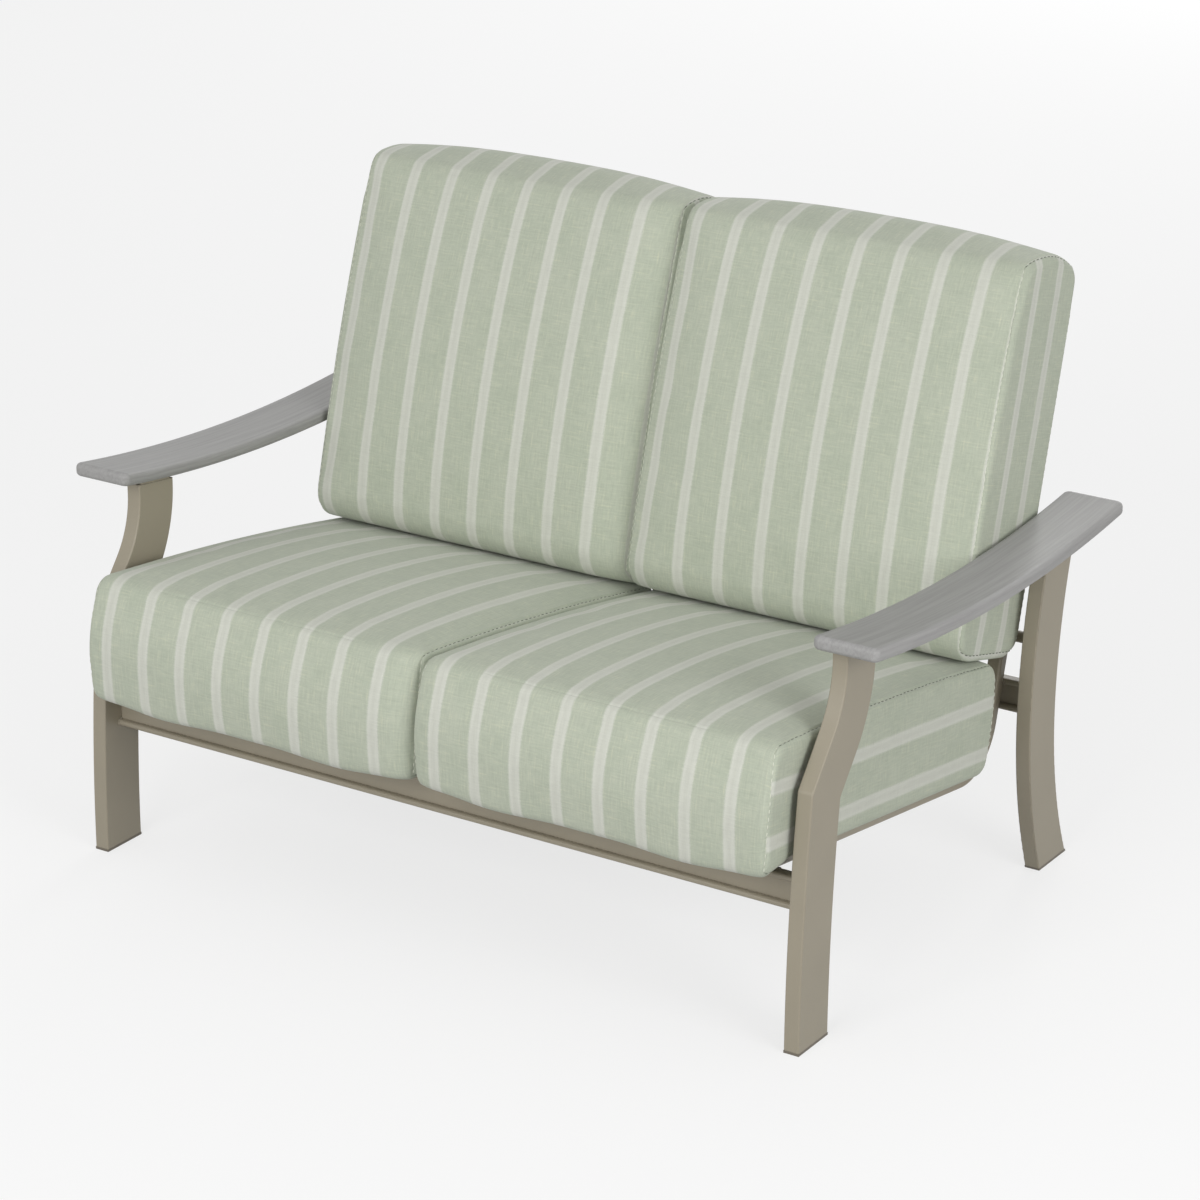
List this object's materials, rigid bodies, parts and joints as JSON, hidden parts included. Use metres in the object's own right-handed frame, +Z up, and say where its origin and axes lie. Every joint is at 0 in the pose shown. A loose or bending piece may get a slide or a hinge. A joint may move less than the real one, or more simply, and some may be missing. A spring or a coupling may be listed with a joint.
{
  "type": "patio loveseat",
  "caption": "Outdoor loveseat: bent flat-tube frame with sagging arm boards, sprung webbing straps, and loose boxed seat and back cushions with stripes.",
  "frame": {"origin": "on the floor, under the middle of the overall width and depth", "axes": "+X across the seat to the viewer's right when seen from the front, +Y from the front to the rear (the seat faces -Y), +Z up"},
  "size_m": [1.4698, 0.9663, 1.0222],
  "materials": {
    "frame_paint": "satin taupe powder coat over aluminium",
    "arm_board": "moulded polymer board, fine lengthwise brushed grain",
    "black_plastic": "moulded nylon glides and end caps",
    "strap_webbing": "woven elastic webbing",
    "rivet_metal": "plain domed rivets",
    "screw_steel": "stainless pan-head screws",
    "cover_fabric": "outdoor canvas, pale sage with stone stripes, over fibre wrap",
    "cushion_foam": "open-cell foam core"
  },
  "bodies": {
    "frame": {"arm_left": "arm_board", "arm_right": "arm_board", "arm_screws": "screw_steel", "back_cross_tube": "frame_paint", "back_strap_left_1": "strap_webbing", "back_strap_left_2": "strap_webbing", "back_strap_left_3": "strap_webbing", "back_strap_left_4": "strap_webbing", "back_strap_right_1": "strap_webbing", "back_strap_right_2": "strap_webbing", "back_strap_right_3": "strap_webbing", "back_strap_right_4": "strap_webbing", "back_strap_rivets": "rivet_metal", "back_top_rail": "frame_paint", "front_arm_plate_left": "frame_paint", "front_arm_plate_right": "frame_paint", "front_glide_left": "black_plastic", "front_glide_right": "black_plastic", "front_leg_left": "frame_paint", "front_leg_right": "frame_paint", "front_rail": "frame_paint", "rear_arm_plate_left": "frame_paint", "rear_arm_plate_right": "frame_paint", "rear_glide_left": "black_plastic", "rear_glide_right": "black_plastic", "rear_leg_left": "frame_paint", "rear_leg_right": "frame_paint", "rear_rail": "frame_paint", "seat_back_tube_inner_left": "frame_paint", "seat_back_tube_inner_right": "frame_paint", "seat_back_tube_outer_left": "frame_paint", "seat_back_tube_outer_right": "frame_paint", "seat_strap_left_1": "strap_webbing", "seat_strap_left_2": "strap_webbing", "seat_strap_left_3": "strap_webbing", "seat_strap_left_4": "strap_webbing", "seat_strap_left_5": "strap_webbing", "seat_strap_right_1": "strap_webbing", "seat_strap_right_2": "strap_webbing", "seat_strap_right_3": "strap_webbing", "seat_strap_right_4": "strap_webbing", "seat_strap_right_5": "strap_webbing", "seat_strap_rivets": "rivet_metal", "seat_tube_caps": "black_plastic", "top_rail_caps": "black_plastic"},
    "seat_left": {"seat_cushion_left": "cover_fabric", "seat_foam_left": "cushion_foam"},
    "seat_right": {"seat_cushion_right": "cover_fabric", "seat_foam_right": "cushion_foam"},
    "back_left": {"back_cushion_left": "cover_fabric", "back_foam_left": "cushion_foam"},
    "back_right": {"back_cushion_right": "cover_fabric", "back_foam_right": "cushion_foam"}
  },
  "joints": [
    {"name": "seat_left_slide", "type": "slide", "parent": "frame", "child": "seat_left", "axis": [0, -0.989, 0.1478], "range_m": [0, 0.8]},
    {"name": "seat_right_slide", "type": "slide", "parent": "frame", "child": "seat_right", "axis": [0, -0.989, 0.1478], "range_m": [0, 0.8]},
    {"name": "back_left_slide", "type": "slide", "parent": "frame", "child": "back_left", "axis": [0, 0.2672, 0.9636], "range_m": [0, 0.7]},
    {"name": "back_right_slide", "type": "slide", "parent": "frame", "child": "back_right", "axis": [0, 0.2672, 0.9636], "range_m": [0, 0.7]}
  ]
}
